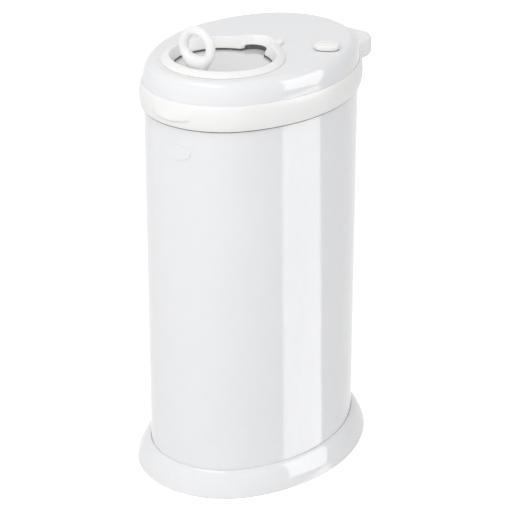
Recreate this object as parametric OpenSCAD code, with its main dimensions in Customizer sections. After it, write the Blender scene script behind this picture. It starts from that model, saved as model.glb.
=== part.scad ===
// Nappy bin: an oval painted-steel pail on a flared foot, with a hinged lid. Under the lid's steel
// dome a door with a pull ring slides back to open the hole that the nappies go in by, and a
// sliding button beside it locks the door. Millimetres, Z up, front of the bin towards -Y. The
// origin is on the floor, under the middle of the body.
//
// Most sections are drawn flat, as offset (x, outward from the steel body) against height (y),
// and are then carried round the body's oval, so all the rims keep an even gap to each other.

/* [Body] */
// Length of the steel body, front to back
body_l = 300; // [270:5:360]
// Width of the steel body
body_w = 226; // [205:5:250]
// Radius of the body's front and back curves
end_r = 95; // [88:1:98]
// Height of the seam between the lid's band and its dome
seam_z = 508; // [380:2:640]
// Thickness of the body's steel sheet
sheet = 1.2; // [0.8:0.1:1.4]

/* [Foot] */
// Height of the flared foot
foot_h = 31; // [24:1:42]
// How far the foot stands out from the body
foot_flare = 18.4; // [12:0.2:24]
// Thickness of the rubber pads
pad_h = 2; // [1.5:0.5:3]

/* [Lid] */
// Height of the plastic band round the lid
band_h = 31.4; // [28:0.2:40]
// Wall of the band
band_wall = 2.2; // [1.8:0.1:2.6]
// Height of the dome above the seam
dome_h = 26; // [22:0.5:34]
// Width of the dome's rounded shoulder
shoulder_w = 17; // [14:0.5:26]
// Thickness of the tray that closes the dome from below
tray_t = 2.5; // [2:0.5:4]

/* [Opening] */
// Radius of the round opening
hole_r = 59; // [46:1:60]
// Distance of the opening's centre in front of the middle of the body
hole_y = 57; // [50:1:60]
// Width of the bezel round the opening
bezel_w = 15; // [13:0.5:17]
// Height of the bezel above the dome
bezel_h = 5.4; // [4:0.1:7]
// Radius of the notch at the back of the opening, where the ring parks
notch_r = 16.5; // [15:0.5:18]

/* [Pull ring] */
// Radius of the ring, to the middle of its rod
ring_r = 19.9; // [18:0.1:21]
// Radius of the ring's rod
ring_rod = 5.7; // [4.5:0.1:6]
// Height of the ring's centre above the dome
ring_up = 26; // [24:1:32]
// Width of the stem that the ring stands on
stem_w = 26.8; // [18:0.2:28]

/* [Lock] */
// Length of the lock button
button_l = 32; // [28:1:36]
// Width of the lock button
button_w = 21; // [18:1:24]
// Height of the lock button above the dome
button_h = 5.9; // [4:0.1:8]
// Travel of the lock button
lock_travel = 7; // [7:0.5:8]

/* [Hinge] */
// Width of the hinge hood at the back of the lid
hood_w = 124; // [100:2:126]
// Radius of the hinge pin
pin_r = 2.5; // [2:0.1:3]

/* [Clearances] */
// Gap between a piece and its seat
seat_gap = 0.3; // [0.2:0.05:0.4]
// Radial gap of the hinge pin in the lid's knuckles
run_gap = 0.06; // [0.03:0.01:0.1]

/* [Hidden] */
$fn = 96;
eps = 0.01;

// The body's outline: two end arcs, in front and behind, joined by two long side arcs.
half_l = body_l / 2;
half_w = body_w / 2;
end_c = half_l - end_r;
side_r = (end_c * end_c + half_w * half_w - end_r * end_r) / (2 * (half_w - end_r));
side_c = side_r - half_w;
side_a = atan2(end_c, side_c);

// Heights, from the floor up.
frame_t = 4;
frame_z = pad_h;
body_z = frame_z + frame_t;
band_z = seam_z - band_h;
lip_z = band_z + 10;
body_top = band_z + 9.5;
collar_t = 2.5;
collar_top = body_top + collar_t;
seal_h = 5.2;
flange_z = collar_top + seat_gap + seal_h;
flange_t = 2.5;
hem_z = flange_z + flange_t;
tray_z = hem_z + sheet;
tray_top = tray_z + tray_t;
dome_top = seam_z + dome_h;
dome_x = -3.4;
shoulder_z = seam_z + 1;
rim_top = dome_top - 0.05;
band_gap = 0.9;

// The door and its rails, under the dome.
carrier_t = 3.1;
panel_t = 2.5;
rail_seat = dome_top - 16.5;
carrier_z = rail_seat + seat_gap;
panel_z = carrier_z + carrier_t;
panel_top = panel_z + panel_t;
gasket_z = panel_top + seat_gap;
gasket_h = 1.9;
bezel_z = gasket_z + gasket_h;
notch_z = bezel_z + 3.4;
wall_slope = 4.5;
notch_slope = 8.5;
door_r = hole_r + 3;
tongue_x = door_r + 3;
ring_y = -hole_y - hole_r + 12;
notch_y = hole_r - hole_y - 2;
door_travel = notch_y - ring_y;
door_back = notch_y + notch_r + 4;
door_corner = 30;
tongue_back = door_back - 14;
rail_front = -hole_y - 4;
rail_end = 40;
rail_back = half_l - rail_end;
rail_screw_y = [rail_front + 19, rail_front + 69, rail_back - 50, rail_back - 14];

// The lock: it slides along lock_a, from the button's place towards the door's edge.
tooth_x = tongue_x + 1.3;
tooth_y = tongue_back + 6;
tooth_l = 9;
lock_x = tooth_x + 7.7;
lock_y = tooth_y + 33;
lock_a = 212;
dish_t = 0.9;
bolt_z = panel_top + 0.8;
bolt_t = 2.4;
key_w = 7;
key_l = 9;
button_z = dome_top + seat_gap;

// The hinge, behind the body.
hood_back = half_l + foot_flare;
hood_z = band_z + 10.5;
hood_top = seam_z + 8;
hood_wall = 2.6;
axis_y = half_l + foot_flare / 2 + 2.5;
axis_z = band_z + 1.5;
barrel_r = pin_r + 2.6;
knuckle_w = 14;
barrel_w = 20;
knuckle_in = barrel_w / 2 + seat_gap;
pin_l = 2 * (knuckle_in + knuckle_w) + 2;
plate_a = 15;

// Colours: the steel's cool white paint, the plastic's warmer white, and the rest.
paint = [0.92, 0.93, 0.96];
plastic = [0.95, 0.95, 0.93];
inner_plastic = [0.80, 0.80, 0.79];
rubber = [0.25, 0.25, 0.26];
bare_steel = [0.70, 0.71, 0.73];

// Points of an arc from p to q that bulges to the right of the way from p to q by sag.
function arc_points(p, q, sag, n = 10) =
    let (d = q - p, l = norm(d), r = (l * l / 4 + sag * sag) / (2 * sag),
         side = [d.y, -d.x] / l, c = (p + q) / 2 - side * (r - sag), half = asin(l / 2 / r),
         mid = atan2(side.y, side.x))
    [for (i = [0 : n]) c + r * [cos(mid - half + 2 * half * i / n), sin(mid - half + 2 * half * i / n)]];

// A list of points in the other order.
function reversed(p) = [for (i = [len(p) - 1 : -1 : 0]) p[i]];

// Points of the body's oval, moved outward by off.
function oval_points(off, n = 32) = concat(
    [for (i = [0 : n - 1]) let (a = -side_a + 2 * side_a * (i + 0.5) / n)
        [(side_r + off) * cos(a) - side_c, (side_r + off) * sin(a)]],
    [for (i = [0 : n - 1]) let (a = side_a + (180 - 2 * side_a) * (i + 0.5) / n)
        [(end_r + off) * cos(a), (end_r + off) * sin(a) + end_c]],
    [for (i = [0 : n - 1]) let (a = 180 - side_a + 2 * side_a * (i + 0.5) / n)
        [(side_r + off) * cos(a) + side_c, (side_r + off) * sin(a)]],
    [for (i = [0 : n - 1]) let (a = 180 + side_a + (180 - 2 * side_a) * (i + 0.5) / n)
        [(end_r + off) * cos(a), (end_r + off) * sin(a) - end_c]]);

// A flat plate with the body's outline, moved outward by off, from height z up by h.
module oval_plate(off, z, h) translate([0, 0, z]) linear_extrude(h) polygon(oval_points(off));

// An upright wall of thickness t on the same outline.
module oval_wall(off, t, z, h) translate([0, 0, z]) linear_extrude(h) difference() {
    polygon(oval_points(off));
    polygon(oval_points(off - t));
}

// Carries the drawn section round the body's oval.
module oval_sweep() {
    for (s = [0, 180]) {
        rotate(s) translate([0, end_c, 0])
            rotate_extrude(angle = 180 - 2 * side_a, start = side_a) translate([end_r, 0]) children();
        rotate(s) translate([-side_c, 0, 0])
            rotate_extrude(angle = 2 * side_a, start = -side_a) translate([side_r, 0]) children();
    }
}

// Puts copies of a piece on the oval, moved outward by off, where it faces the given angles, and
// again on the opposite side.
module round_oval(off, angles) for (a = angles, s = [0, 180]) rotate(s)
    if (abs(a) < side_a) translate([-side_c, 0, 0]) rotate(a) translate([side_r + off, 0, 0]) children();
    else if (a > 180 - side_a) translate([side_c, 0, 0]) rotate(a) translate([side_r + off, 0, 0]) children();
    else translate([0, end_c, 0]) rotate(a) translate([end_r + off, 0, 0]) children();

// A rectangle with rounded corners, its middle at the origin.
module rounded(w, h, r) {
    square([w - 2 * r, h], center = true);
    square([w, h - 2 * r], center = true);
    for (x = [-1, 1], y = [-1, 1]) translate([x * (w / 2 - r), y * (h / 2 - r)]) circle(r);
}

// A slot with round ends along X.
module slot(l, w) {
    square([l - w, w], center = true);
    for (x = [-1, 1]) translate([x * (l - w) / 2, 0]) circle(w / 2);
}

// The steel body: a welded oval tube with a folded hem at its top and bottom edge.
module body_shell() color(paint) {
    hem = 5;
    oval_sweep() polygon([
        [0, body_z], [0, body_top], [-2 * sheet, body_top], [-2 * sheet, body_top - hem],
        [-sheet, body_top - hem], [-sheet, body_z + hem], [-2 * sheet, body_z + hem],
        [-2 * sheet, body_z]]);
}

// The flared foot: a pressed steel skirt with a lip turned in at the floor.
module base_skirt() color(paint) {
    top_x = seat_gap;
    outer = arc_points([foot_flare, 2.5], [top_x + 0.6, foot_h], 5);
    inner = arc_points([foot_flare - sheet, 2.5], [top_x, foot_h - sheet], 5);
    oval_sweep() polygon(concat(
        [[foot_flare - 6, 0], [foot_flare - 1, 0]], outer, [[top_x, foot_h]], reversed(inner),
        [[foot_flare - sheet - 0.6, sheet], [foot_flare - 6, sheet]]));
}

// The moulded ring that the body stands on, with ribs that carry the skirt's lip.
module base_frame() color(inner_plastic) difference() {
    oval_sweep() polygon([
        [-16, frame_z], [foot_flare - 3.2, frame_z], [foot_flare - 3.2, frame_z + 2], [2.6, frame_z + 2],
        [2.6, body_z + 12], [seat_gap, body_z + 12], [seat_gap, body_z], [-16, body_z]]);
    round_oval(-10, base_screw_angles) translate([0, 0, frame_z - eps]) cylinder(h = frame_t + 1, r = 2.1);
}
base_screw_angles = [0, 65, 115];

// The steel floor of the bin, on the frame's inner ledge.
module bottom_plate() color(bare_steel) difference() {
    rim_x = -2 * sheet - 0.4;
    union() {
        oval_plate(rim_x, body_z, sheet);
        oval_wall(rim_x, sheet, body_z, 9);
    }
    round_oval(-10, base_screw_angles) translate([0, 0, body_z - 1]) cylinder(h = 4, r = 2.1);
}

// Four rubber pads under the frame.
module foot_pads() color(rubber)
    round_oval(-4, [52, 128]) cylinder(h = pad_h, r = 8);

// Screws that hold the floor down to the frame.
module base_screws() color(bare_steel)
    round_oval(-10, base_screw_angles) {
        translate([0, 0, frame_z + 0.4]) cylinder(h = body_z - frame_z + sheet, r = 1.9);
        translate([0, 0, body_z + sheet]) rotate_extrude()
            polygon([[0, 0], [3.8, 0], [3.4, 1.2], [2.2, 2.1], [0, 2.4]]);
    }

// The bare oval badge on the front, curved to the body.
badge_w = 36;
badge_h = 17;
badge_up = 30;
module badge() color(paint) intersection() {
    translate([0, -end_c, 0]) rotate_extrude(angle = 40, start = 250)
        translate([end_r + 0.05, band_z - badge_up - badge_h]) square([1.1, 2 * badge_h]);
    translate([0, -half_l + 10, band_z - badge_up]) rotate([90, 0, 0]) linear_extrude(30)
        polygon([for (a = [0 : 7.5 : 352.5]) [badge_w * cos(a), badge_h * sin(a)] / 2]);
}

// The moulded collar on the body's top edge, with the ledge that the bag ring sits on.
rivet_z = body_top - 4.5;
ledge_z = body_top - 24;
module rim_collar() color(inner_plastic) {
    skirt_x = -2 * sheet - seat_gap;
    difference() {
        oval_sweep() polygon([
            [0.8, body_top], [0.8, collar_top - 0.8], [0, collar_top], [-9, collar_top],
            [-10, collar_top - 1], [-10, body_top], [skirt_x - 2, body_top], [skirt_x - 2, ledge_z + 2.4],
            [-15, ledge_z + 2.4], [-15, ledge_z], [skirt_x, ledge_z], [skirt_x, body_top]]);
        round_oval(0, rivet_angles) translate([-8, 0, rivet_z]) rotate([0, 90, 0]) cylinder(h = 12, r = 1.6);
    }
}
rivet_angles = [-24, 24, 60, 120];

// Rivets through the body's hem into the collar, out of sight under the band.
module collar_rivets() color(bare_steel)
    round_oval(0, rivet_angles) translate([0, 0, rivet_z]) rotate([0, 90, 0])
        cylinder(h = 0.9, r1 = 2.8, r2 = 2.2);

// The loose ring that the bag is drawn through and folded over.
module bag_ring() color(plastic) {
    z = ledge_z + 2.4 + seat_gap;
    oval_sweep() polygon(concat(
        [[-6.2, z], [-6.2, z + 14]], arc_points([-6.2, z + 16], [-10.5, z + 16], 1.6, 6),
        [[-12.5, z + 10], [-11, z + 10], [-9.6, z + 13.5], [-8.4, z + 13.5], [-8.4, z + 2], [-14, z + 2],
         [-14, z]]));
}

// The hinge's bracket on the back of the body: a curved plate with one wide barrel.
module hinge_bracket() color(inner_plastic) difference() {
    union() {
        translate([0, end_c, 0]) rotate_extrude(angle = 2 * plate_a, start = 90 - plate_a)
            translate([end_r + 0.05, band_z - 38]) square([3, 34]);
        translate([-barrel_w / 2, half_l + 1, band_z - 30]) cube([barrel_w, 6, 26]);
        bracket_web();
        translate([-barrel_w / 2, axis_y, axis_z]) rotate([0, 90, 0]) cylinder(h = barrel_w, r = barrel_r);
    }
    translate([-barrel_w, axis_y, axis_z]) rotate([0, 90, 0])
        cylinder(h = 2 * barrel_w, r = pin_r + run_gap / 3);
    bracket_holes(1.8);
}

// The bracket's web, from the plate up to the barrel.
module bracket_web() translate([-barrel_w / 2, 0, 0]) rotate([90, 0, 90]) linear_extrude(barrel_w) polygon([
    [half_l + 2, band_z - 30], [axis_y + 2, band_z - 14], [axis_y + barrel_r, axis_z],
    [axis_y - barrel_r, axis_z], [half_l + 2, band_z - 5]]);

// The bracket's four screw holes, square to the curved plate.
module bracket_holes(r) for (a = [-11, 11], z = [band_z - 31, band_z - 12])
    translate([0, end_c, z]) rotate(90 + a) translate([end_r - 6, 0, 0]) rotate([0, 90, 0])
        cylinder(h = 14, r = r);

// Screws of the bracket.
module bracket_screws() color(bare_steel) for (a = [-11, 11], z = [band_z - 31, band_z - 12])
    translate([0, end_c, z]) rotate(90 + a) translate([end_r, 0, 0]) rotate([0, 90, 0]) {
        translate([0, 0, 0.1]) cylinder(h = 3, r = 1.6);
        translate([0, 0, 3.05]) cylinder(h = 1.6, r1 = 3.2, r2 = 2.4);
    }

// The steel hinge pin.
module hinge_pin() color(bare_steel)
    translate([-pin_l / 2, axis_y, axis_z]) rotate([0, 90, 0]) cylinder(h = pin_l, r = pin_r);

// The outer line of the band, and how far it bulges.
band_line = arc_points([2.4, band_z], [dome_x + band_gap + band_wall, seam_z], 5.4, 12);
band_out = max([for (p = band_line) p.x]);

// The plastic band round the lid, with the flange that carries the dome and the finger lip in front.
module lid_band() color(plastic) difference() {
    inner = arc_points([0.9, band_z], [dome_x + band_gap, seam_z], 4.2, 12);
    union() {
        oval_sweep() polygon(concat(band_line, reversed(inner)));
        oval_sweep() polygon([[4.2, flange_z], [4.2, hem_z], [-15, hem_z], [-15, flange_z]]);
        finger_lip();
    }
    round_oval(-11, lid_screw_angles) translate([0, 0, flange_z - 1]) cylinder(h = flange_t + 2, r = 1.7);
}
lid_screw_angles = [0, 62, 118];

// The crescent at the front of the band, where fingers lift the lid: it follows the band's belly
// above its lower edge and thins out to both sides.
module finger_lip() intersection() {
    oval_sweep() polygon([
        [band_out - 2.2, lip_z - 1], [band_out - 2.2, lip_z + 9], [band_out - 0.4, lip_z + 12],
        [band_out + 1.2, lip_z + 5], [band_out + 1.7, lip_z + 1], [band_out + 1.4, lip_z]]);
    translate([0, -half_l - 59, lip_z - 2]) cylinder(h = 16, r = 59 - band_out + 8.2);
}

// The steel dome: a deep pressing with a hem turned in at its lower edge.
function dome_line(in, n = 12) = [for (i = [0 : n])
    [dome_x - in - (shoulder_w - in) * (1 - pow(cos(90 * i / n), 0.8)),
     shoulder_z + (rim_top - shoulder_z - in) * pow(sin(90 * i / n), 0.8)]];
module lid_dome() color(paint) difference() {
    mid_x = dome_x - shoulder_w - 2;
    union() {
        oval_sweep() polygon(concat(
            [[-9, hem_z], [dome_x, hem_z]], dome_line(0), [[mid_x, rim_top], [mid_x, rim_top - sheet]],
            reversed(dome_line(sheet)), [[dome_x - sheet, hem_z + sheet], [-9, hem_z + sheet]]));
        oval_plate(mid_x + 0.5, dome_top - sheet, sheet);
        lock_place() translate([0, 0, dome_top - 2 * sheet]) linear_extrude(1.5 * sheet)
            slot(button_l + 5, button_w + 4);
    }
    opening(6, dome_top - 4, 8);
    lock_place() translate([0, 0, dome_top - dish_t]) linear_extrude(3) slot(button_l + 8, button_w + 3);
    lock_place() translate([lock_travel / 2, 0, dome_top - 4]) linear_extrude(8)
        slot(key_l + lock_travel + 2, key_w + 1);
}

// The opening's outline with its parking notch, larger by grow, as a cutter from z up.
module opening(grow, z, h) {
    translate([0, -hole_y, z]) cylinder(h = h, r = hole_r + grow);
    translate([0, notch_y, z]) cylinder(h = h, r = notch_r + grow);
}

// The lock button's place and direction of travel.
module lock_place() translate([lock_x, lock_y, 0]) rotate(lock_a) children();

// The moulded tray that closes the dome from below, open under the door.
module lid_tray() color(inner_plastic) difference() {
    union() {
        oval_plate(dome_x - sheet - seat_gap, tray_z, tray_t);
        oval_wall(dome_x - sheet - seat_gap, 2, tray_z, tray_t + 4);
    }
    translate([0, -hole_y, tray_z - 1]) cylinder(h = 10, r = hole_r - 2);
    round_oval(-11, lid_screw_angles) translate([0, 0, tray_z - 1]) cylinder(h = 10, r = 1.7);
    rail_holes(tray_z - 1, 1.5);
}

// The rubber seal under the lid's flange.
module lid_seal() color(rubber) oval_sweep() polygon([
    [-7, flange_z], [-2, flange_z], [-2, flange_z - 2], [-3.2, flange_z - seal_h], [-5.8, flange_z - seal_h],
    [-7, flange_z - 2]]);

// Screws that clamp the dome's hem between the band and the tray.
module lid_screws() color(bare_steel) round_oval(-11, lid_screw_angles) {
    translate([0, 0, flange_z + 0.05]) cylinder(h = flange_t + sheet + tray_t + 2, r = 1.5);
    translate([0, 0, flange_z - 1.8]) cylinder(h = 1.8, r1 = 2.2, r2 = 3);
}

// The hood over the hinge, with the two knuckles that turn on the pin.
module hinge_hood() color(plastic) difference() {
    union() {
        difference() {
            hood_block(0);
            translate([0, 0, -hood_wall]) hood_block(hood_wall);
            translate([0, half_l, hood_z - 1]) linear_extrude(9)
                rounded(hood_w - 2 * hood_wall, 2 * (foot_flare - hood_wall), 5);
            oval_plate(band_out + seat_gap, hood_z - 1, seam_z + seat_gap - hood_z + 1);
            oval_plate(dome_x + 0.35, seam_z, 20);
        }
        for (s = [-1, 1]) translate([s * (knuckle_in + knuckle_w / 2), 0, 0]) {
            translate([-knuckle_w / 2, axis_y - 3, axis_z])
                cube([knuckle_w, 6, hood_top - hood_wall - axis_z + 0.5]);
            translate([-knuckle_w / 2, axis_y, axis_z]) rotate([0, 90, 0])
                cylinder(h = knuckle_w, r = barrel_r);
        }
        for (s = [-1, 1]) translate([s * 42, half_l + 12, hood_z + 2])
            cylinder(h = hood_top - hood_z - 4, r = 4);
    }
    translate([-hood_w, axis_y, axis_z]) rotate([0, 90, 0]) cylinder(h = 2 * hood_w, r = pin_r + run_gap);
}

// The hood's rounded block, smaller by inset on its sides, back and top.
module hood_block(inset) {
    corner = 9;
    depth = 46;
    tall = hood_top - hood_z;
    intersection() {
        translate([0, hood_back - depth / 2, hood_z - 10]) linear_extrude(60)
            rounded(hood_w - 2 * inset, depth - 2 * inset, corner - inset);
        translate([0, hood_back + 5, (hood_z + hood_top) / 2]) rotate([90, 0, 0])
            linear_extrude(depth + 10) rounded(hood_w - 2 * inset, tall, 9 - inset);
        translate([-hood_w, hood_back - depth / 2, (hood_z + hood_top) / 2]) rotate([90, 0, 90])
            linear_extrude(2 * hood_w) rounded(depth - 2 * inset, tall, 9 - inset);
    }
}

// Screws up into the hood's bosses, through the band's wall.
module hood_screws() color(bare_steel) for (s = [-1, 1]) translate([s * 42, half_l + 12, hood_z]) {
    cylinder(h = 1.95, r1 = 2.4, r2 = 3.2);
}

// The bezel round the opening and its parking notch: a broad rim that slopes up to a rounded crest,
// and a wall that runs down inside like a funnel.
bezel_snaps = [200, 240, 300, 340];
module bezel() color(plastic) difference() {
    union() {
        translate([0, -hole_y, 0]) rotate_extrude() bezel_section(hole_r, bezel_z);
        translate([0, notch_y, 0]) rotate_extrude() bezel_section(notch_r, notch_z);
        for (a = bezel_snaps) translate([0, -hole_y, 0]) rotate_extrude(angle = 8, start = a) polygon([
            [hole_r + 3, bezel_z], [hole_r + 5, bezel_z], [hole_r + 8, dome_top - sheet - seat_gap - 1.5],
            [hole_r + 8, dome_top - sheet - seat_gap], [hole_r + 3, dome_top - sheet - seat_gap]]);
        bezel_tab();
    }
    translate([0, -hole_y, 0]) rotate_extrude() funnel(hole_r, bezel_z, wall_slope);
    translate([0, notch_y, 0]) rotate_extrude() funnel(notch_r, notch_z, notch_slope);
}

// The bezel's section round a hole of radius r, whose wall goes down to height z.
module bezel_section(r, z) polygon([
    [r - 1, z], [r + 3.4, z], [r + 5.4, dome_top - 2], [r + 5.4, dome_top], [r + bezel_w, dome_top],
    [r + bezel_w - 0.6, dome_top + 1.3], [r + wall_slope + 5, dome_top + bezel_h - 1.1],
    [r + wall_slope + 1.7, dome_top + bezel_h], [r - 1, dome_top + bezel_h]]);

// What the funnel takes away inside: the wall leans out by slope and rolls over at the crest.
module funnel(r, z, slope) polygon([
    [0, bezel_z - 1], [r, bezel_z - 1], [r, z], [r + slope - 1.4, dome_top + bezel_h - 3],
    [r + slope, dome_top + bezel_h - 0.8], [r + slope + 2.4, dome_top + bezel_h + 1],
    [0, dome_top + bezel_h + 1]]);

// The small rounded tab that stands out of the bezel, behind the notch.
module bezel_tab() translate([notch_r + 4.5, notch_y + notch_r + 6.5, dome_top]) rotate_extrude() polygon([
    [0, 0], [6.1, 0], [6.1, bezel_h - 2.4], [5.4, bezel_h - 1.2], [3.6, bezel_h - 0.1], [0, bezel_h + 0.4]]);

// The dark rubber gasket that wipes the door, along the lower edge of the bezel.
module door_gasket() color(rubber) difference() {
    union() {
        opening(3, gasket_z, gasket_h);
        translate([0, notch_y, gasket_z]) cylinder(h = notch_z - gasket_z, r = notch_r + 3);
    }
    opening(0.4, gasket_z - 1, 20);
    translate([0, -hole_y, bezel_z]) cylinder(h = 20, r = hole_r + 5.4);
}

// The two channel rails that the door's carrier slides in.
module door_rails() color(inner_plastic) difference() {
    in = tongue_x - 4;
    out = tongue_x + seat_gap;
    for (s = [0, 1]) mirror([s, 0, 0]) translate([0, rail_back, 0]) rotate([90, 0, 0])
        linear_extrude(rail_back - rail_front) polygon([
            [in, tray_top], [out + 2.4, tray_top], [out + 2.4, panel_top], [in + 1.2, panel_top],
            [in + 1.2, panel_z + seat_gap], [out, panel_z + seat_gap], [out, rail_seat], [in, rail_seat]]);
    translate([tongue_x - 5, tooth_y - 6, rail_seat - 0.6]) cube([12, tooth_l + 9, 20]);
    translate([out - 1, lock_y - 9, panel_top - 1.5]) cube([6, 13, 3]);
    rail_holes(tray_top - 1, 1.3);
}

// The rails' screw holes from below.
module rail_holes(z, r) for (x = [-1, 1], y = rail_screw_y)
    translate([x * (tongue_x - 0.5), y, z]) cylinder(h = 8, r = r);

// Screws up into the rails.
module rail_screws() color(bare_steel) for (x = [-1, 1], y = rail_screw_y)
    translate([x * (tongue_x - 0.5), y, tray_z - 1.6]) {
        cylinder(h = 1.6, r1 = 1.8, r2 = 2.6);
        cylinder(h = tray_t + 6, r = 1.2);
    }

// The door's outline, seen from above: round in front, with rounded corners at the back.
module door_outline(r, back, corner) {
    translate([0, -hole_y]) circle(r);
    translate([-r, -hole_y]) square([2 * r, back - corner + hole_y]);
    translate([-r + corner, -hole_y]) square([2 * (r - corner), back + hole_y]);
    for (s = [-1, 1]) translate([s * (r - corner), back - corner]) circle(corner);
}

// The painted steel door.
module door_panel() color(paint) difference() {
    translate([0, 0, panel_z]) linear_extrude(panel_t) door_outline(door_r - 1.5, door_back, door_corner);
    translate([0, ring_y, panel_z - 1]) cylinder(h = 10, r = 2.3);
}

// The moulded carrier under the door, whose tongues run in the rails.
module door_carrier() color(inner_plastic) difference() {
    translate([0, 0, carrier_z]) linear_extrude(carrier_t) {
        door_outline(door_r - 1.5, door_back, door_corner);
        translate([-tongue_x, -hole_y]) square([2 * tongue_x, tongue_back + hole_y]);
    }
    translate([0, ring_y, carrier_z - 1]) cylinder(h = 10, r = 2.3);
    translate([0, -hole_y + 8, carrier_z + 1.6]) cylinder(h = 5, r = 36);
}

// The upright pull ring: a thick round loop on a broad stem that stands on the door.
module pull_ring() color(plastic) {
    ring_z = dome_top + ring_up;
    difference() {
        union() {
            translate([0, ring_y, ring_z]) rotate([90, 0, 0])
                rotate_extrude() translate([ring_r, 0]) circle(ring_rod);
            translate([0, ring_y, panel_top]) linear_extrude(ring_z - ring_r + 1 - panel_top)
                rounded(stem_w, 2 * ring_rod - 0.8, ring_rod - 1);
            translate([0, ring_y, 0]) rotate([90, 0, 0]) linear_extrude(2 * ring_rod - 4, center = true)
                difference() {
                    translate([-stem_w / 2, ring_z - ring_r]) square([stem_w, 8]);
                    translate([0, ring_z]) circle(ring_r);
                }
        }
        translate([0, ring_y, panel_top - 1]) cylinder(h = 13, r = 1.7);
    }
}

// The screw that holds the ring, up through carrier and door.
module ring_screw() color(bare_steel) translate([0, ring_y, carrier_z]) {
    translate([0, 0, -2.2]) cylinder(h = 2.2, r1 = 2.6, r2 = 4);
    cylinder(h = carrier_t + panel_t + 9, r = 1.6);
}

// The sliding lock button: a fat oval with a raised top and a thumb lobe.
module lock_button() color(plastic) lock_place() translate([0, 0, button_z]) {
    linear_extrude(button_h - 1.6) slot(button_l, button_w);
    translate([0, 0, button_h - 1.6 - eps]) linear_extrude(1.6 + eps) slot(button_l - 2.4, button_w - 2.4);
    translate([0, 0, button_h - eps]) linear_extrude(0.8) slot(button_l - 13, button_w - 9);
    translate([button_l / 2 - 3, 0, 0]) cylinder(h = button_h - 2.4, r = 6);
    translate([0, 0, bolt_z + bolt_t - button_z]) linear_extrude(button_z - bolt_z - bolt_t + eps)
        slot(key_l, key_w - 0.6);
}

// The bolt under the dome, whose tooth drops beside the door's tongue.
module lock_bolt() color(inner_plastic) {
    translate([0, 0, bolt_z]) linear_extrude(bolt_t) union() {
        translate([lock_x, lock_y]) rotate(lock_a) slot(24, 14);
        polygon([[tooth_x, tooth_y], [lock_x + 1, lock_y - 6], [lock_x - 5, lock_y + 4],
            [tooth_x, tooth_y + tooth_l + 4]]);
    }
    translate([tooth_x, tooth_y, rail_seat + 0.2]) cube([4.6, tooth_l, bolt_z - rail_seat]);
}

// The screw that joins bolt and button.
module bolt_screw() color(bare_steel) lock_place() translate([0, 0, bolt_z - 1.7])
    cylinder(h = 1.7, r1 = 2, r2 = 3.2);

// The two walls under the dome that keep the bolt in line.
guide_y = 7.4;
module lock_guide() color(inner_plastic) lock_place() for (s = [-1, 1])
    translate([-8.5, s > 0 ? guide_y : -guide_y - 3, bolt_z]) cube([11, 3, dome_top - 2 * sheet - bolt_z]);

// The leaf spring that clicks the bolt into its two places.
module lock_spring() color(bare_steel) lock_place() translate([-13, -8, bolt_z + bolt_t + 0.5])
    cube([3, 16, 0.6]);

body_shell();
base_skirt();
base_frame();
bottom_plate();
foot_pads();
base_screws();
badge();
rim_collar();
collar_rivets();
bag_ring();
hinge_bracket();
bracket_screws();
hinge_pin();
lid_band();
lid_dome();
lid_tray();
lid_seal();
lid_screws();
hinge_hood();
hood_screws();
bezel();
door_gasket();
door_rails();
rail_screws();
lock_guide();
lock_spring();
door_panel();
door_carrier();
pull_ring();
ring_screw();
lock_button();
lock_bolt();
bolt_screw();
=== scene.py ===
from math import pi, sin, cos, radians

import bpy
import numpy as np
from mathutils import Matrix, Vector
from mathutils.geometry import delaunay_2d_cdt


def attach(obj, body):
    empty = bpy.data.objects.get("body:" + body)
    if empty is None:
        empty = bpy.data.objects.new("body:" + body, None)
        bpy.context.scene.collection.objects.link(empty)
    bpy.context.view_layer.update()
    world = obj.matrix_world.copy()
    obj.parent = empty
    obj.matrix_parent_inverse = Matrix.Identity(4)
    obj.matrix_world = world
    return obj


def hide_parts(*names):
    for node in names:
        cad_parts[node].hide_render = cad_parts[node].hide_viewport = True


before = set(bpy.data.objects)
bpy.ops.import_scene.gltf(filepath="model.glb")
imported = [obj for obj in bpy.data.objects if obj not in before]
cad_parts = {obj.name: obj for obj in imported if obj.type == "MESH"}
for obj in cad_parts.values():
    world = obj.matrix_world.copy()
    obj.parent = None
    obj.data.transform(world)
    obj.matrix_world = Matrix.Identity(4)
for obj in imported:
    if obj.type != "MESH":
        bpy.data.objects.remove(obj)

scene = bpy.context.scene
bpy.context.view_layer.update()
scene.view_settings.view_transform = "Standard"


# Camera. It looks down on the bin from its front right, from about 2.5 m away with a long lens.
# The small shift only frames the bin as the photograph does.
view_azimuth, view_elevation, view_distance = radians(37.862), radians(24.21), 2.55298
target = Vector((0, 0, 0.29))
back = Vector((sin(view_azimuth) * cos(view_elevation),
               -cos(view_azimuth) * cos(view_elevation), sin(view_elevation)))
right = Vector((cos(view_azimuth), sin(view_azimuth), 0))
turned_to_view = Matrix((right, back.cross(right), back)).transposed().to_4x4()
camera = bpy.data.objects.new("camera", bpy.data.cameras.new("camera"))
camera.matrix_world = Matrix.Translation(target + back * view_distance) @ turned_to_view
camera.data.lens, camera.data.sensor_width = 144.76, 36
camera.data.shift_x, camera.data.shift_y = 0.0066, -0.04669
camera.data.clip_end = 50
scene.collection.objects.link(camera)
scene.camera = camera


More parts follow.
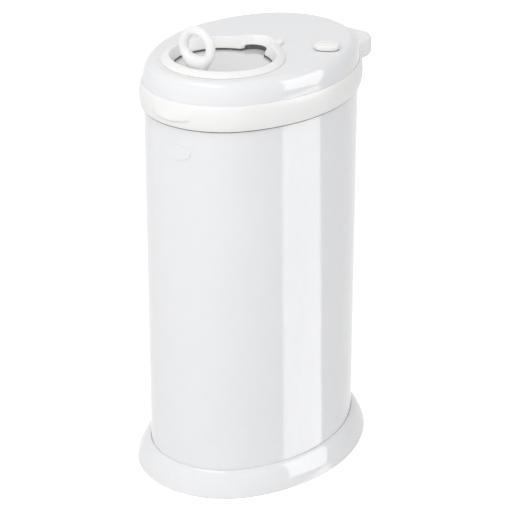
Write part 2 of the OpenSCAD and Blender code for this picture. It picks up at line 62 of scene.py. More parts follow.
# Body. The bin's tube is oval steel sheet, powder coated in a cool, glossy white, with a folded
# hem at its top and bottom edge. Every rim of the bin keeps an even distance to the tube, so most
# pieces are a section, drawn outward and up in millimetres, that is carried round its outline.
class Sock:
    """One socket of a node tree. Operators add Math nodes; node() adds any other node."""

    def __init__(self, tree, socket):
        self.tree, self.socket = tree, socket

    def node(self, kind, out=0, props=(), **inputs):
        """Adds a node, sets its props, then links or sets its inputs: _0 is the first, X is "X"."""
        n = self.tree.nodes.new(kind)
        for key, value in dict(props).items():
            setattr(n, key, value)
        for key, value in inputs.items():
            self.feed(n.inputs[int(key[1:])] if key[0] == "_" else n.inputs[key], value)
        return Sock(self.tree, n.outputs[out])

    def feed(self, entry, value):
        if isinstance(value, Sock):
            self.tree.links.new(value.socket, entry)
        else:
            entry.default_value = value

    def math(self, operation, *others):
        values = {f"_{i}": value for i, value in enumerate((self,) + others)}
        return self.node("ShaderNodeMath", props={"operation": operation}, **values)

    def __add__(self, other): return self.math("ADD", other)
    def __radd__(self, other): return self.math("ADD", other)
    def __mul__(self, other): return self.math("MULTIPLY", other)
    def __rmul__(self, other): return self.math("MULTIPLY", other)

    def smooth(self, lo, hi):
        """0 below lo and 1 above hi, with a smooth step between."""
        return self.node("ShaderNodeMapRange", props={"interpolation_type": "SMOOTHSTEP"},
                         _0=self, _1=lo, _2=hi, _3=0.0, _4=1.0)

    def noise(self, scale, detail=2.0, rough=0.5):
        return self.node("ShaderNodeTexNoise",
                         Vector=self, Scale=scale, Detail=detail, Roughness=rough)

    def stretched(self, x, y, z):
        return self.node("ShaderNodeVectorMath", props={"operation": "MULTIPLY"},
                         _0=self, _1=(x, y, z))

    def mix(self, a, b):
        """The colour a where this value is 0, and b where it is 1."""
        return self.node("ShaderNodeMix", out=2, props={"data_type": "RGBA"},
                         _0=self, _6=(*a, 1), _7=(*b, 1))

    def bump(self, height, strength):
        return self.node("ShaderNodeBump", Height=self, Distance=height, Strength=strength)


def material(name, color, roughness, normal,
             metallic=0.0, coat=0.0, coat_roughness=0.03, ior=1.5):
    """A Principled material. Color, roughness and normal are functions of Object coordinates."""
    m = bpy.data.materials.new(name)
    m.use_nodes = True
    tree = m.node_tree
    shader = next(n for n in tree.nodes if n.type == "BSDF_PRINCIPLED")
    place = Sock(tree, tree.nodes.new("ShaderNodeTexCoord").outputs["Object"])
    for key, made in (("Base Color", color), ("Roughness", roughness), ("Normal", normal)):
        tree.links.new(made(place).socket, shader.inputs[key])
    for key, value in (("Metallic", metallic), ("Coat Weight", coat),
                       ("Coat Roughness", coat_roughness), ("IOR", ior)):
        shader.inputs[key].default_value = value
    return m


# The coat has a faint orange peel, and a little dust and wiping dulls it here and there.
finishes = {}
cool_white = (0.795, 0.800, 0.815), (0.815, 0.819, 0.832)
finishes["white_paint"] = material(
    "painted_steel",
    lambda p: (p.noise(14, 3) * 0.6 + p.noise(90, 2) * 0.4).smooth(0.3, 0.75).mix(*cool_white),
    lambda p: p.noise(22, 4, 0.6).smooth(0.35, 0.8) * 0.06 + 0.07,
    lambda p: (p.noise(260, 1) * 0.7 + p.noise(700, 0) * 0.3).bump(0.00002, 0.5),
    coat=0.2)


def smoothstep(x):
    """0 below 0, 1 above 1, and 3 x^2 - 2 x^3 between."""
    x = np.clip(x, 0, 1)
    return x * x * (3 - 2 * x)


# The outline's direction turns from the side to the end. Its radius of bend passes, round the
# direction corner, from side_r to end_r. Both are solved for, so that the outline has the tube's
# half width and half length.
half_width, half_length, corner, blend = 113, 150, radians(36.3), 0.3
quarter = np.linspace(0, pi / 2, 4001)
turned = smoothstep((quarter - corner) / blend + 0.5)
shares = [[np.mean(weight * f) * pi / 2 for weight in (1 - turned, turned)]
          for f in (np.sin(quarter), np.cos(quarter))]
side_r, end_r = np.linalg.solve(shares, [half_width, half_length])
angle = np.linspace(0, 2 * pi, 16001)
folded = np.abs((angle + pi / 2) % pi - pi / 2)
bend = side_r + (end_r - side_r) * np.interp(folded, quarter, turned)


def summed(f):
    """The running integral of f over the direction's angle."""
    return np.concatenate([[0], np.cumsum((f[1:] + f[:-1]) / 2 * np.diff(angle))])


outline = np.stack([half_width - summed(bend * np.sin(angle)), summed(bend * np.cos(angle))], 1)
length = summed(bend)


def oval(n):
    """n points evenly along the outline, counterclockwise from +X, and their outward directions."""
    a = np.interp(np.arange(n) / n * length[-1], length, angle)
    points = np.stack([np.interp(a, angle, outline[:, k]) for k in (0, 1)], 1)
    return points, np.stack([np.cos(a), np.sin(a)], 1)


def rounded(corners, default=0.0, steps=5):
    """A closed section and its normals. A corner (x, y, radius) becomes an arc that touches both
    of its sides, and takes less than half of each; (x, y) has the default radius, and with 0 it
    stays one point."""
    c = np.array([p[:2] for p in corners], float)
    r = [p[2] if len(p) > 2 else default for p in corners]
    points, normals = [], []
    for i in range(len(c)):
        into, out = c[i] - c[i - 1], c[(i + 1) % len(c)] - c[i]
        a, b = into / np.linalg.norm(into), out / np.linalg.norm(out)
        na, nb = np.array([a[1], -a[0]]), np.array([b[1], -b[0]])
        turn = np.arctan2(a[0] * b[1] - a[1] * b[0], a @ b)
        reach = min(r[i] * abs(np.tan(turn / 2)),
                    0.49 * np.linalg.norm(into), 0.49 * np.linalg.norm(out))
        if reach < 1e-4:
            points.append(c[i])
            normals.append((na + nb) / np.linalg.norm(na + nb))
            continue
        radius = reach / abs(np.tan(turn / 2)) * np.sign(turn)
        start = np.arctan2(na[1], na[0])
        for t in np.linspace(0, 1, steps):
            n = np.array([cos(start + turn * t), sin(start + turn * t)])
            points.append(c[i] - a * reach - na * radius + n * radius)
            normals.append(n)
    return np.array(points), np.array(normals)


def carried(section, n=480, move=None):
    """Carries a closed section round the outline: a point (x, z) of it lies x out from the tube
    at each of n places, at height z. move may shift x and z from place to place."""
    flat, tilt = section
    base, out = oval(n)
    x, z = flat[:, 0][:, None] * np.ones(n), flat[:, 1][:, None] * np.ones(n)
    if move is not None:
        x, z = move(x, z, base, out)
    verts = np.concatenate([base[None] + x[..., None] * out[None], z[..., None]], -1)
    sideways = tilt[:, 0][:, None, None] * out[None]
    upward = np.broadcast_to(tilt[:, 1][:, None, None], x.shape + (1,))
    normals = np.concatenate([sideways, upward], -1).reshape(-1, 3)
    m = len(flat)
    i, j = np.meshgrid(np.arange(m), np.arange(n), indexing="ij")
    k, l = (i + 1) % m, (j + 1) % n
    faces = np.stack([i * n + j, i * n + l, k * n + l, k * n + j], -1).reshape(-1, 4)
    return verts.reshape(-1, 3), faces, normals if move is None else None


def piece(name, node, finish, body, verts, faces, normals=None, replace=True):
    """A mesh in millimetres that rides on a body and, if replace, stands for a CAD node."""
    m = bpy.data.meshes.new(name)
    m.from_pydata((verts * 0.001).tolist(), [],
                  faces.tolist() if isinstance(faces, np.ndarray) else faces)
    m.shade_smooth()
    if normals is not None:
        m.normals_split_custom_set_from_vertices(normals.tolist())
    m.materials.append(finishes[finish])
    o = bpy.data.objects.new(name, m)
    scene.collection.objects.link(o)
    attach(o, body)
    if replace:
        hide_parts(node)


outer_hem = [(0, 8, 0.4), (0, 486.1, 0.5)]
top_hem = [(-2.4, 486.1, 0.5), (-2.4, 481.1, 0.2), (-1.2, 481.1, 0.1)]
bottom_hem = [(-1.2, 13, 0.1), (-2.4, 13, 0.2), (-2.4, 8, 0.4)]
piece("body_shell_visual", "body_shell", "white_paint", "bin",
      *carried(rounded(outer_hem + top_hem + bottom_hem), 720))


# Foot. A pressed steel skirt bulges out from the body to the floor. Its upper edge lies close to
# the body, and its lower edge turns in under the moulded frame.
def arc(p, q, sag, n=24):
    """n points from p to q on the circle through both that bulges to the right by sag."""
    p, q = np.array(p, float), np.array(q, float)
    d = q - p
    l = np.hypot(*d)
    r = (l * l / 4 + sag * sag) / (2 * sag)
    side = np.array([d[1], -d[0]]) / l
    c = (p + q) / 2 - side * (r - sag)
    a = np.arctan2(side[1], side[0]) + np.arcsin(l / 2 / r) * np.linspace(-1, 1, n)
    return [tuple(c + r * np.array([cos(t), sin(t)])) for t in a]


# From its widest point the skirt rises by steps that lean in more and more, from 13 to 57 degrees.
foot_reach, foot_base, foot_top = 17.8, 1.4, 31
lean = np.radians(np.interp(np.linspace(0, 1, 34), [0, 0.75, 1], [13, 36, 57]))
inward, upward = 16.9, 29.6
across = foot_reach - np.cumsum(np.sin(lean)) * inward / np.sin(lean).sum()
rise = foot_base + np.cumsum(np.cos(lean)) * upward / np.cos(lean).sum()
foot_inside = arc((16.4, 1.9), (0.3, 29.8), 2.9, 20)[::-1]
piece("base_skirt_visual", "base_skirt", "white_paint", "bin", *carried(rounded(
    [(12.4, 0, 0.3), (17.2, 0, 0.9), (foot_reach, foot_base)] + list(zip(across, rise))
    + [(0.3, foot_top, 0.2)] + foot_inside + [(15.9, 1.2, 0.4), (12.4, 1.2, 0.3)]), 720))


# Underside. The body stands on a moulded grey frame that holds the steel floor with screws, and
# four dark rubber pads under it meet the floor. The rubber is dusty in its low spots, and the
# steel has faint drawing lines.
light_grey = (0.60, 0.60, 0.59), (0.65, 0.65, 0.64)
finishes["grey_plastic"] = material(
    "grey_plastic",
    lambda p: (p.noise(25, 3) * 0.6 + p.noise(150, 2) * 0.4).smooth(0.3, 0.75).mix(*light_grey),
    lambda p: p.noise(60, 3).smooth(0.3, 0.8) * 0.1 + 0.42,
    lambda p: p.noise(800, 2).bump(0.00004, 0.5))
dusty_black = (0.085, 0.085, 0.09), (0.16, 0.158, 0.155)
finishes["dark_rubber"] = material(
    "dark_rubber",
    lambda p: p.noise(120, 4, 0.65).smooth(0.35, 0.75).mix(*dusty_black),
    lambda p: p.noise(90, 3).smooth(0.3, 0.8) * 0.15 + 0.55,
    lambda p: p.noise(1500, 2).bump(0.00005, 0.6))
steel_grey = (0.52, 0.53, 0.55), (0.62, 0.63, 0.65)
finishes["bare_steel"] = material(
    "bare_steel",
    lambda p: p.noise(60, 3).smooth(0.3, 0.8).mix(*steel_grey),
    lambda p: p.stretched(30, 900, 900).noise(1, 3).smooth(0.3, 0.8) * 0.18 + 0.24,
    lambda p: p.stretched(30, 1200, 1200).noise(1, 2).bump(0.00002, 0.4),
    metallic=1.0)


def dress(finish, *nodes):
    """Gives a finish to CAD nodes that keep their own shape."""
    for node in nodes:
        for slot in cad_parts[node].material_slots:
            slot.material = finishes[finish]


dress("grey_plastic", "base_frame")
dress("dark_rubber", "foot_pads")
dress("bare_steel", "bottom_plate", "base_screws")


# Badge. A plain oval plate of painted metal is glued to the front and curved with the body. Its
# face is left bare.
front_r, front_y = 95, -55
badge_z, badge_shift, badge_half, badge_tall, thickness = 446.6, 3, 21.4, 10.2, 1.1
around, rings = 64, 27
u, v = np.meshgrid(np.arange(around) / around * 2 * pi,
                   np.linspace(0, 1, rings + 1)[1:] ** 0.6, indexing="xy")
rim_start, rim_width = 0.96, 0.04
lift = np.where(v < rim_start, thickness,
                thickness * np.sqrt(np.clip(1 - ((v - rim_start) / rim_width) ** 2, 0, 1)))
across = badge_shift + badge_half * v * np.cos(u)
up = badge_z + badge_tall * v * np.sin(u)
swing = across / front_r
verts = np.stack([(front_r + lift) * np.sin(swing), front_y - (front_r + lift) * np.cos(swing),
                  up], -1).reshape(-1, 3)
i, j = np.meshgrid(np.arange(rings - 1), np.arange(around), indexing="ij")
l = (j + 1) % around
quads = np.stack([i * around + j, (i + 1) * around + j, (i + 1) * around + l, i * around + l],
                 -1).reshape(-1, 4).tolist()
piece("badge_visual", "badge", "white_paint", "bin", verts, quads + [list(range(around))])


# Upper rim. A moulded grey collar is riveted on the body's top edge and carries the loose white
# bag ring. The hinge's bracket is screwed to the back of the body and holds its steel pin. White
# plastic is a warmer, satin white than the paint, with a very fine spark-eroded grain.
warm_white = (0.848, 0.846, 0.838), (0.866, 0.864, 0.857)
finishes["white_plastic"] = material(
    "white_plastic",
    lambda p: (p.noise(18, 3) * 0.7 + p.noise(120, 2) * 0.3).smooth(0.3, 0.75).mix(*warm_white),
    lambda p: p.noise(40, 3, 0.6).smooth(0.3, 0.8) * 0.08 + 0.30,
    lambda p: (p.noise(900, 2, 0.6) * 0.6 + p.noise(60, 1) * 0.4).bump(0.00003, 0.35))
dress("grey_plastic", "rim_collar", "hinge_bracket")
dress("white_plastic", "bag_ring")
dress("bare_steel", "collar_rivets", "bracket_screws", "hinge_pin")


# Lid band. A white plastic hoop has a soft belly, and inside it a flange that carries the dome. At
# the front a crescent lip stands out for the fingers, with a sharp lower edge, hollow underneath.
belly_z, belly_half = 493, 15.6
lining = np.array(arc((0.9, 476.6), (-2.5, 508), 4.2, 60))
lining_min = 1.32
lip_z, lip_half, lip_arch, lip_out, lip_in, lip_hollow = 487.4, 27, 3.4, 3.0, -3.2, -2.0
above_fade, below_fade = 15, 4.6


def finger_lip(x, z, base, out):
    """Pushes the belly out above the crest of the lip, most at the middle and nothing at its
    ends, and in below it, both fading with height. The crest rises by the square of the place."""
    place = base[:, 0] / lip_half
    arch = lip_arch * np.clip(place, -1, 1) ** 2
    front = np.where((out[:, 1] < 0), np.clip(1 - place ** 2, 0, 1), 0)
    outside = x > np.interp(z, lining[:, 1], lining[:, 0]) + 0.9
    z = z + np.where(outside, arch * (front > 0) * smoothstep(1 - np.abs(z - lip_z) / 8.5), 0)
    crest = lip_z + arch
    above = lip_out * (1 - smoothstep((z - crest) / above_fade)) * (z >= crest - 0.05)
    below = lip_in * (1 - smoothstep((crest - z) / below_fade)) * (z < crest - 0.05)
    hollow = lip_hollow * smoothstep(1.4 - np.abs(z - 485.5) / 6) * (x > 0)
    return x + front ** 0.8 * np.where(outside, above + below, hollow), z


def belly_x(z):
    """Half an ellipse outward round belly_z; below it, its ends stand a little further out."""
    base, depth = (1.3, 4.2) if z > belly_z else (1.9, 3.6)
    return base + depth * np.sqrt(1 - ((z - belly_z) / belly_half) ** 2)


def lined(*heights, radius=()):
    """Points of the band's inner wall at these heights."""
    return [(max(np.interp(z, lining[:, 1], lining[:, 0]), lining_min), z, *radius)
            for z in heights]


rows = np.concatenate([
    np.linspace(479.4, 484.8, 11), np.linspace(485.2, 487.0, 7), np.linspace(487.22, 488.0, 5),
    np.linspace(488.6, 503, 22), belly_z + belly_half * np.sin(np.linspace(0.72, 1.5, 14))])
flange = (lined(496.6, radius=(0.3,)) + [(-15, 496.6, 0.3), (-15, 494.1, 0.3)]
          + lined(494.1, radius=(0.8,)))
piece("lid_band_visual", "lid_band", "white_plastic", "lid", *carried(rounded(
    [(2.4, 478.2, 0.3), (3.4, 478.2, 0.5)] + [(belly_x(z), z) for z in rows]
    + [(lining_min, 508.6, 0.1)] + lined(507, 505, 504, 502, 500, 498)
    + flange + lined(491, 488, 485, 482, 480)), 600, finger_lip))


# Painted shadow. A thin strip of dark rubber hangs inside the band's lower edge and closes the gap
# to the
# body: its dark colour stands in for the shade under the band. Inside the lid lies a rubber seal,
# between the tray and the collar.
shadow_strip_section = [(0.5, 476.8), (2.1, 476.8), (2.7, 479.4), (0.5, 479.4)]
# The dark strip is painted shade, not a part that shows under any lamp.
piece("painted_shadow_strip", "lid_band", "dark_rubber", "lid",
      *carried(rounded(shadow_strip_section, 0.3), 480), replace=False)
dress("dark_rubber", "lid_seal")


# Lid dome. A deep steel pressing, painted like the body: its wall rises from a turned-in hem and
# rolls over a wide shoulder into a flat top, with a hole for the bezel and a shallow dish for the
# lock button. A grey tray closes it from below with screws.
dome_top, sheet = 534, 1.2
wall_top, roll = 509, 0.952
opening_y = -57
button_angle = radians(212)
end_centre, side_centre, end_radius, side_radius = 55, 75, 95, 188
dish_x, dish_y, dish_depth, dish_length, dish_width = 74.5, 45.6, 0.95, 38, 25


def join(a, b, k):
    """The union of two distances: the smaller one, lowered where they differ by less than k."""
    h = np.maximum(k - np.abs(a - b), 0) / k
    return np.minimum(a, b) - h * h * k / 4


def slot_field(x, y, l, w):
    """Distance from a slot of length l and width w with round ends, seen from above."""
    return np.hypot(np.maximum(np.abs(x) - (l - w) / 2, 0), y) - w / 2


def opening_field(p, hole=59.0, notch=16.5, k=4.0):
    """Distance outward from the opening: the round hole joined with its parking notch."""
    round_hole = np.hypot(p[..., 0], p[..., 1] - opening_y) - hole
    return join(round_hole, np.hypot(p[..., 0], p[..., 1]) - notch, k)


def oval_distance(p):
    """Distance outward from the body, seen from above: to the arc of its end or of its side."""
    x, y = np.abs(p[..., 0]), np.abs(p[..., 1])
    return np.where(np.arctan2(y, x + side_centre) > corner,
                    np.hypot(x, y - end_centre) - end_radius,
                    np.hypot(x + side_centre, y) - side_radius)


def pocket(x, y):
    """Depth of the dish, which runs out softly round a slot under the lock button."""
    x, y = x - dish_x, y - dish_y
    along, beside = (x * cos(button_angle) + y * sin(button_angle),
                     y * cos(button_angle) - x * sin(button_angle))
    outside = slot_field(along, beside, dish_length, dish_width)
    return dish_depth * smoothstep((3.2 - outside) / 6.5)


def pressed(verts, normals):
    """Sinks the top's vertices into the dish and tilts their normals by the dish's slope."""
    x, y = verts[:, 0], verts[:, 1]
    slope = np.stack([(pocket(x + 0.05, y) - pocket(x - 0.05, y)) * 10,
                      (pocket(x, y + 0.05) - pocket(x, y - 0.05)) * 10, 0 * x], 1)
    down = np.where(verts[:, 2] > 515, 1.0, 0.0)[:, None] * (normals[:, 2:] > 0)
    return (verts - down * np.c_[0 * x, 0 * x, pocket(x, y)],
            normals + down * normals[:, 2:] * slope)


def shoulder(wall, depth, rise, n):
    """A quarter of a superellipse from the wall in by depth and up by rise."""
    return [(wall - depth * (1 - cos(t) ** roll), wall_top + rise * sin(t) ** roll)
            for t in np.linspace(0, pi / 2 - 0.003, n)]


def level_ring(field, level, centre, n, reach):
    """The points round a centre at which a plan field has that level, found by halving."""
    a = np.arange(n) / n * 2 * pi
    ray = np.stack([np.cos(a), np.sin(a)], 1)
    near, far = np.zeros(n), np.full(n, float(reach))
    for _ in range(40):
        mid = (near + far) / 2
        inside = field(centre + ray * mid[:, None]) < level
        near, far = np.where(inside, mid, near), np.where(inside, far, mid)
    return centre + ray * near[:, None]


edge, edge_faces, edge_normals = carried(rounded(
    [(-9, 496.6, 0.3), (1.2, 496.6, 1.2)] + shoulder(1.2, 15.2, 25, 56)
    + [(-14.9, dome_top), (-15, dome_top), (-15, dome_top - sheet)]
    + shoulder(0.0, 14.0, 23.8, 28)[::-1] + [(0.0, 497.8, 0.6), (-9, 497.8, 0.3)]), 720)
edge, edge_normals = pressed(edge, edge_normals)

# The flat is a triangle net between the shoulder's rim and the hole, dense near the dish.
rim, away = oval(480)
hole_edge = level_ring(opening_field, 6.0, np.array((0, -12.0)), 240, 110)
loops = [rim - 15 * away, hole_edge]
sides, start = [], 0
for ring in loops:
    sides += [(start + k, start + (k + 1) % len(ring)) for k in range(len(ring))]
    start += len(ring)
net = np.stack(np.meshgrid(np.arange(42, 104, 1.4), np.arange(18, 74, 1.4)), -1).reshape(-1, 2)
net = net[(oval_distance(net) < -16) & (opening_field(net) > 8)]
given = [Vector(q) for q in np.concatenate(loops + [net]).tolist()]
cut = delaunay_2d_cdt(given, sides, [], 1, 1e-6)
points, tris = np.array([tuple(q) for q in cut[0]]), np.array(cut[2])
tris = tris[opening_field(points[tris].mean(1)) > 6]
cross = np.cross(points[tris[:, 1]] - points[tris[:, 0]], points[tris[:, 2]] - points[tris[:, 0]])
tris[cross < 0] = tris[cross < 0][:, ::-1]
n_edge, n_flat = len(edge), len(points)
flat, flat_normals = pressed(np.c_[points, np.full(n_flat, float(dome_top))],
                             np.tile((0, 0, 1.0), (n_flat, 1)))
verts = np.concatenate([edge, flat, np.c_[points, np.full(n_flat, dome_top - sheet)]])
faces = (edge_faces.tolist() + (tris + n_edge).tolist()
         + (tris[:, ::-1] + n_edge + n_flat).tolist())
normals = np.concatenate([edge_normals, flat_normals, np.tile((0, 0, -1.0), (n_flat, 1))])
piece("lid_dome_visual", "lid_dome", "white_paint", "lid", verts, faces,
      normals / np.linalg.norm(normals, axis=1, keepdims=True))
dress("grey_plastic", "lid_tray")
dress("bare_steel", "lid_screws")


# Bezel. A white moulded rim slopes up from the dome to a rounded crest. From there its wall runs
# down inside like a funnel, less deep in the parking notch, and a small tab stands behind the
# notch. A dark rubber gasket lies under it.
def skin(field, lo, hi, pitch):
    """Nets a distance field's zero surface: one vertex for each cell that it crosses and one quad
    for each grid line, then pulls each vertex onto it and takes the normals from its slope."""
    lo, hi = np.array(lo, float), np.array(hi, float)
    count = np.ceil((hi - lo) / pitch).astype(int) + 1
    axes = [lo[k] + pitch * np.arange(count[k]) for k in range(3)]
    solid = field(np.stack(np.meshgrid(*axes, indexing="ij"), -1)) < 0
    corners = sum(solid[a:count[0] - 1 + a, b:count[1] - 1 + b, c:count[2] - 1 + c].astype(np.int8)
                  for a in (0, 1) for b in (0, 1) for c in (0, 1))
    cells = (corners > 0) & (corners < 8)
    index = np.full(cells.shape, -1)
    index[cells] = np.arange(cells.sum())
    verts = lo + (np.argwhere(cells) + 0.5) * pitch

    def slope(p):
        e = 0.02
        return np.stack([field(p + d) - field(p - d) for d in e * np.eye(3)], -1) / (2 * e)

    for _ in range(12):
        g = slope(verts)
        step = (field(verts) / np.maximum((g * g).sum(-1), 0.05))[:, None] * g
        verts = verts - np.clip(step, -pitch / 2, pitch / 2)
    g = slope(verts)
    faces = []
    for k in range(3):
        u, v = (k + 1) % 3, (k + 2) % 3
        near = [slice(None)] * 3
        far = [slice(None)] * 3
        near[k], far[k] = slice(0, -1), slice(1, None)
        change = solid[tuple(near)].astype(np.int8) - solid[tuple(far)]
        at = np.argwhere(change != 0)
        at = at[(at[:, u] > 0) & (at[:, v] > 0)
                & (at[:, u] < cells.shape[u]) & (at[:, v] < cells.shape[v])]
        sign = change[tuple(at.T)]
        ring = []
        for du, dv in ((-1, -1), (0, -1), (0, 0), (-1, 0)):
            q = at.copy()
            q[:, u] += du
            q[:, v] += dv
            ring.append(index[tuple(q.T)])
        ring = np.stack(ring, 1)
        faces.append(np.where(sign[:, None] > 0, ring, ring[:, ::-1]))
    return verts, np.concatenate(faces), g / np.linalg.norm(g, axis=-1, keepdims=True)


def meet(a, b, k):
    """The common part of two distances, with its edge rounded by about k."""
    return -join(-a, -b, k)


wall_r, wall_spread, wall_spread_less, wall_height = 59.1, 4.4, 1.6, 13.8
wall_depth, notch_depth_less = 8.4, 3.4
notch_r, notch_spread, notch_depth, notch_height = 16.5, 8.0, 5.0, 10.4
crest_r, crest_notch, crest_blend = 63.5, 26.5, 6
outer_r, outer_notch, outer_blend = 73.9, 32.6, 12
edge_height, crest_rise, near_rise = 1.0, 4.4, 0.9
neck_thickness, tab_x, tab_y, tab_r, tab_height = 5.3, 21, 23, 6.0, 5.6


def bezel_field(p):
    """A rim between two outlines that narrows upward, joined with the funnel's neck and a tab.
    The inner outline widens with height, so the wall leans outward. Towards the front the wall
    leans less and the crest is higher."""
    z = p[..., 2] - dome_top
    lean = np.clip((z + wall_depth) / wall_height, 0, 1.1)
    notch_lean = np.clip((z + notch_depth) / notch_height, 0, 1.1)
    near = smoothstep((opening_y - p[..., 1]) / 60)
    inside = opening_field(p, wall_r + (wall_spread - wall_spread_less * near) * lean ** 1.2,
                           notch_r + notch_spread * notch_lean ** 1.1)
    crest = opening_field(p, crest_r - wall_spread_less * near, crest_notch, crest_blend)
    outside = opening_field(p, outer_r, outer_notch, outer_blend)
    t = np.clip(-outside / (np.maximum(crest, 0) - np.minimum(outside, 0) + 1e-3), 0, 1)
    top = z - edge_height - (crest_rise + near_rise * near) * (1 - (1 - t) ** 1.7)
    rim = meet(meet(meet(top, outside, 1.6), -z, 0.3), -inside, 2.6)
    beyond_hole = smoothstep((np.hypot(p[..., 0], p[..., 1] - opening_y) - 64) / 0.8)
    low = wall_depth - notch_depth_less * beyond_hole
    neck = meet(meet(opening_field(p) - neck_thickness, -inside, 0.5),
                np.abs(z + low / 2 - 0.5) - low / 2 - 0.5, 0.6)
    tab = np.hypot(p[..., 0] - tab_x, p[..., 1] - tab_y) - tab_r
    return join(join(rim, neck, 0.6), meet(meet(tab, z - tab_height, 1.6), -z, 0.4), 1.5)


piece("bezel_visual", "bezel", "white_plastic", "lid",
      *skin(bezel_field, (-76, -133, 524.5), (76, 34, 541), 0.9))
dress("dark_rubber", "door_gasket")


# Door. The panel is enamelled steel, polished so that it mirrors the bezel's wall. It lies on a
# grey carrier whose tongues slide in two rails, which are screwed under the dome.
pale_enamel = (0.70, 0.70, 0.70), (0.73, 0.73, 0.73)
finishes["door_enamel"] = material(
    "door_enamel",
    lambda p: p.noise(30, 3).smooth(0.3, 0.75).mix(*pale_enamel),
    lambda p: p.noise(25, 3).smooth(0.35, 0.8) * 0.03 + 0.02,
    lambda p: p.noise(60, 1).bump(0.00002, 0.3),
    coat=0.8, coat_roughness=0.02, ior=1.6)
dress("door_enamel", "door_panel")
dress("grey_plastic", "door_carrier", "door_rails")
dress("bare_steel", "rail_screws")


# Pull ring. It stands upright on the door, held by one screw: a thick round loop of white plastic
# that flows into a broad stem.
ring_y, ring_z, ring_r, rod_r = -104, 560, 19.88, 5.7
stem_z, stem_half, stem_top, door_z = 533, (13.4, 5.0, 18), -11.2, 523.4


def box_field(p, centre, half, r):
    """Distance from a box, with its edges rounded by r."""
    q = np.abs(p - np.array(centre)) - np.array(half) + r
    return np.linalg.norm(np.maximum(q, 0), axis=-1) + np.minimum(q.max(-1), 0) - r


def ring_field(p):
    """A torus joined with a rounded box, which ends under the ring's hole and at the door."""
    x, y, z = p[..., 0], p[..., 1] - ring_y, p[..., 2] - ring_z
    loop = np.hypot(np.hypot(x, z) - ring_r, y) - rod_r
    stem = meet(box_field(p, (0, ring_y, stem_z), stem_half, 4.6), z - stem_top, 4.0)
    return meet(join(loop, stem, 8.0), -(p[..., 2] - door_z), 0.3)


piece("pull_ring_visual", "pull_ring", "white_plastic", "door",
      *skin(ring_field, (-28, -114, 522.5), (28, -94, 588), 0.6))
dress("bare_steel", "ring_screw")


# Lock. The button is a fat oval pad of white plastic with a raised oval on top and a thumb lobe on
# the door's side. A screw ties it to the grey bolt under the dome, which runs in a guide and clicks
# on a leaf spring.
button_x, button_y, button_base = 75.6, 46.2, 534.1
pad_length, pad_width, pad_height = 30, 23.4, 6.3
crown_length, crown_width, crown_height = 19, 12.6, 7.2
lobe_x, lobe_r, lobe_height = 10.6, 5.6, 4.2


def button_field(p):
    """A slot-shaped pad joined with a smaller, higher slot and a low round lobe, with a flat
    underside just above the base."""
    x, y, z = p[..., 0] - button_x, p[..., 1] - button_y, p[..., 2] - button_base
    x, y = (x * cos(button_angle) + y * sin(button_angle),
            y * cos(button_angle) - x * sin(button_angle))
    pad = meet(meet(slot_field(x, y, pad_length, pad_width), z - pad_height, 2.8), -z, 0.5)
    crown = meet(slot_field(x, y, crown_length, crown_width), z - crown_height, 0.8)
    lobe = meet(meet(np.hypot(x - lobe_x, y) - lobe_r, z - lobe_height, 1.8), -z, 0.4)
    return meet(join(join(pad, meet(crown, -z, 0.3), 0.8), lobe, 1.2), 0.1 - z, 0.3)


piece("lock_button_visual", "lock_button", "white_plastic", "lock",
      *skin(button_field, (54, 28, 533.4), (98, 65, 542.6), 0.5))
dress("grey_plastic", "lock_guide", "lock_bolt")
dress("bare_steel", "lock_spring", "bolt_screw")


# Hinge hood. It covers the hinge behind the lid like a smooth pebble, open below, of the same
# white plastic. Two knuckles hang from its roof and turn on the pin, and two bosses take the
# screws that come up through the band.
hood_y, hood_z, hood_half, hood_edge, hood_corner = 145.4, 503.9, (62.6, 23, 16.8), 12.5, 14
hood_wall, mouth_half = 2.5, (52, 14, 9)
pin_y, pin_z, pin_bore = 161.7, 478.1, 2.56
knuckle_x, knuckle_half, knuckle_r = 17.3, 7, 5.1
boss_x, boss_y, boss_z, boss_half, boss_r = 42, 161, 503.4, 14.3, 4


def hood_field(p):
    """A rounded block, hollow below and cut off round the band's belly, joined with a knuckle and
    a boss. Both halves are the same, so x is taken without its sign."""
    x, y, z = np.abs(p[..., 0]), p[..., 1], p[..., 2]
    from_above = p * np.array((1, 1, 0))
    block = meet(box_field(p, (0, hood_y, hood_z), hood_half, hood_edge),
                 box_field(from_above, (0, hood_y, 0), (*hood_half[:2], 60), hood_corner), 1.0)
    mouth = box_field(p, (0, 148, 486), mouth_half, 4)
    shell = meet(block, -np.minimum(block + hood_wall, mouth), 0.5)
    belly = 1.6 + 4.3 * np.sqrt(np.clip(1 - ((z - belly_z) / belly_half) ** 2, 0, 1))
    shell = meet(shell, belly - oval_distance(p), 0.3)
    pin = np.hypot(y - pin_y, z - pin_z)
    barrel = meet(pin - knuckle_r, np.abs(x - knuckle_x) - knuckle_half, 0.5)
    web = box_field(np.stack([x, y, z], -1), (knuckle_x, 161, 498), (knuckle_half, 3, 20), 0.6)
    knuckle = meet(join(barrel, web, 2.0), pin_bore - pin, 0.2)
    boss = meet(np.hypot(x - boss_x, y - boss_y) - boss_r, np.abs(z - boss_z) - boss_half, 0.4)
    return join(join(shell, knuckle, 1.0), boss, 1.0)


piece("hinge_hood_visual", "hinge_hood", "white_plastic", "lid",
      *skin(hood_field, (-64, 121, 471.5), (64, 169.5, 522), 0.9))
dress("bare_steel", "hood_screws")


# Floor and surroundings. A seamless white floor runs out of sight and keeps the bin's soft shadow.
# The camera and reflections see it white, and the same holds for the white surroundings.
def seen(tree):
    """Whether the camera, a reflection or glass looks, and whether the camera itself looks."""
    path = tree.nodes.new("ShaderNodeLightPath")
    direct, glossy, through = (Sock(tree, path.outputs[f"Is {kind} Ray"])
                               for kind in ("Camera", "Glossy", "Transmission"))
    return direct.math("MAXIMUM", glossy).math("MAXIMUM", through), direct


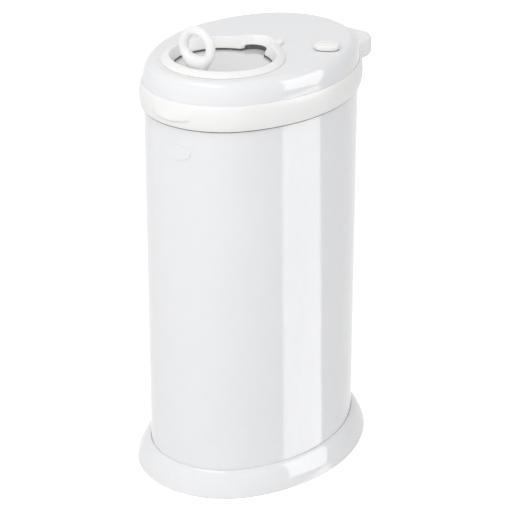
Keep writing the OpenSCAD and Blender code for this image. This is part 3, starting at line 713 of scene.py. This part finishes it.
def emptied(owner):
    """The owner's node tree, with nothing in it."""
    owner.use_nodes = True
    owner.node_tree.nodes.clear()
    return owner.node_tree


def sheet_of(name, corners, surface):
    """A flat four-sided object that isn't part of the bin."""
    m = bpy.data.meshes.new(name)
    m.from_pydata(corners, [], [(0, 1, 2, 3)])
    m.materials.append(surface)
    o = bpy.data.objects.new(name, m)
    scene.collection.objects.link(o)
    return o


white, floor_reach = (1, 1, 1, 1), 9
ground = bpy.data.materials.new("floor")
tree = emptied(ground)
shown, direct = seen(tree)
matte = direct.node("ShaderNodeBsdfDiffuse", Color=(0.8, 0.8, 0.8, 1))
glow = direct.node("ShaderNodeEmission", Color=white, Strength=0.70)
lit = direct.node("ShaderNodeAddShader", _0=matte, _1=glow)
mirror = direct.node("ShaderNodeBsdfGlossy", Color=white, Roughness=0.12)
gloss = direct.node("ShaderNodeMixShader", _0=0.75, _1=lit, _2=mirror)
reflected = direct.node("ShaderNodeMixShader", _0=shown, _1=matte, _2=gloss)
final = direct.node("ShaderNodeMixShader", _0=direct, _1=reflected, _2=lit)
tree.links.new(final.socket, tree.nodes.new("ShaderNodeOutputMaterial").inputs["Surface"])
sheet_of("floor", [(-floor_reach, -floor_reach, 0), (floor_reach, -floor_reach, 0),
                   (floor_reach, floor_reach, 0), (-floor_reach, floor_reach, 0)], ground)

world = bpy.data.worlds.new("studio")
scene.world = world
tree = emptied(world)
shown, direct = seen(tree)
level = shown * 0.30 + 0.70
sky = direct.node("ShaderNodeBackground", Color=white, Strength=level)
tree.links.new(sky.socket, tree.nodes.new("ShaderNodeOutputWorld").inputs["Surface"])


# Grey card. It stands behind the bin and isn't part of it. Only reflections see it: it darkens
# the edges of the gloss.
grey = bpy.data.materials.new("card")
tree = emptied(grey)
glow = tree.nodes.new("ShaderNodeEmission")
glow.inputs["Color"].default_value = (0.9, 0.9, 0.9, 1)
tree.links.new(glow.outputs[0], tree.nodes.new("ShaderNodeOutputMaterial").inputs["Surface"])
card = sheet_of("card", [(-5, 0, 0), (5, 0, 0), (5, 0, 4), (-5, 0, 4)], grey)
card.matrix_world = (Matrix.Translation(Vector((-1.84, 2.37, 0)))
                     @ Matrix.Rotation(view_azimuth, 4, "Z"))
card.visible_camera = card.visible_diffuse = card.visible_shadow = False


# Lights. A tall window on the right makes the long bright stripe on the body, a panel overhead
# lights the dome, and a broad soft panel in front lights the whole bin.
def softbox(name, azimuth, elevation, distance, aim, size, radiance, roll=0):
    """A rectangular light that faces the bin from that direction, in degrees and metres."""
    a, e = radians(azimuth), radians(elevation)
    toward = Vector((sin(a) * cos(e), -cos(a) * cos(e), sin(e)))
    light = bpy.data.lights.new(name, "AREA")
    light.shape, light.size, light.size_y = "RECTANGLE", *size
    light.energy = radiance * pi * size[0] * size[1]
    o = bpy.data.objects.new(name, light)
    o.matrix_world = (Matrix.Translation(Vector(aim) + toward * distance)
                      @ toward.to_track_quat("Z", "Y").to_matrix().to_4x4()
                      @ Matrix.Rotation(radians(roll), 4, "Z"))
    scene.collection.objects.link(o)
    return o


window = softbox("window_right", azimuth=119, elevation=21, distance=4.2, aim=(0, 0, 0.5),
                 size=(2.6, 3.5), radiance=3.3, roll=-20)
window.visible_diffuse = False
softbox("overhead", azimuth=-10, elevation=68, distance=2.4, aim=(0, 0, 0.5),
        size=(1.6, 0.8), radiance=2.0)
key = softbox("key", azimuth=18, elevation=30, distance=3.4, aim=(0, 0, 0.4),
              size=(5.0, 2.2), radiance=1.45)
key.visible_glossy = False
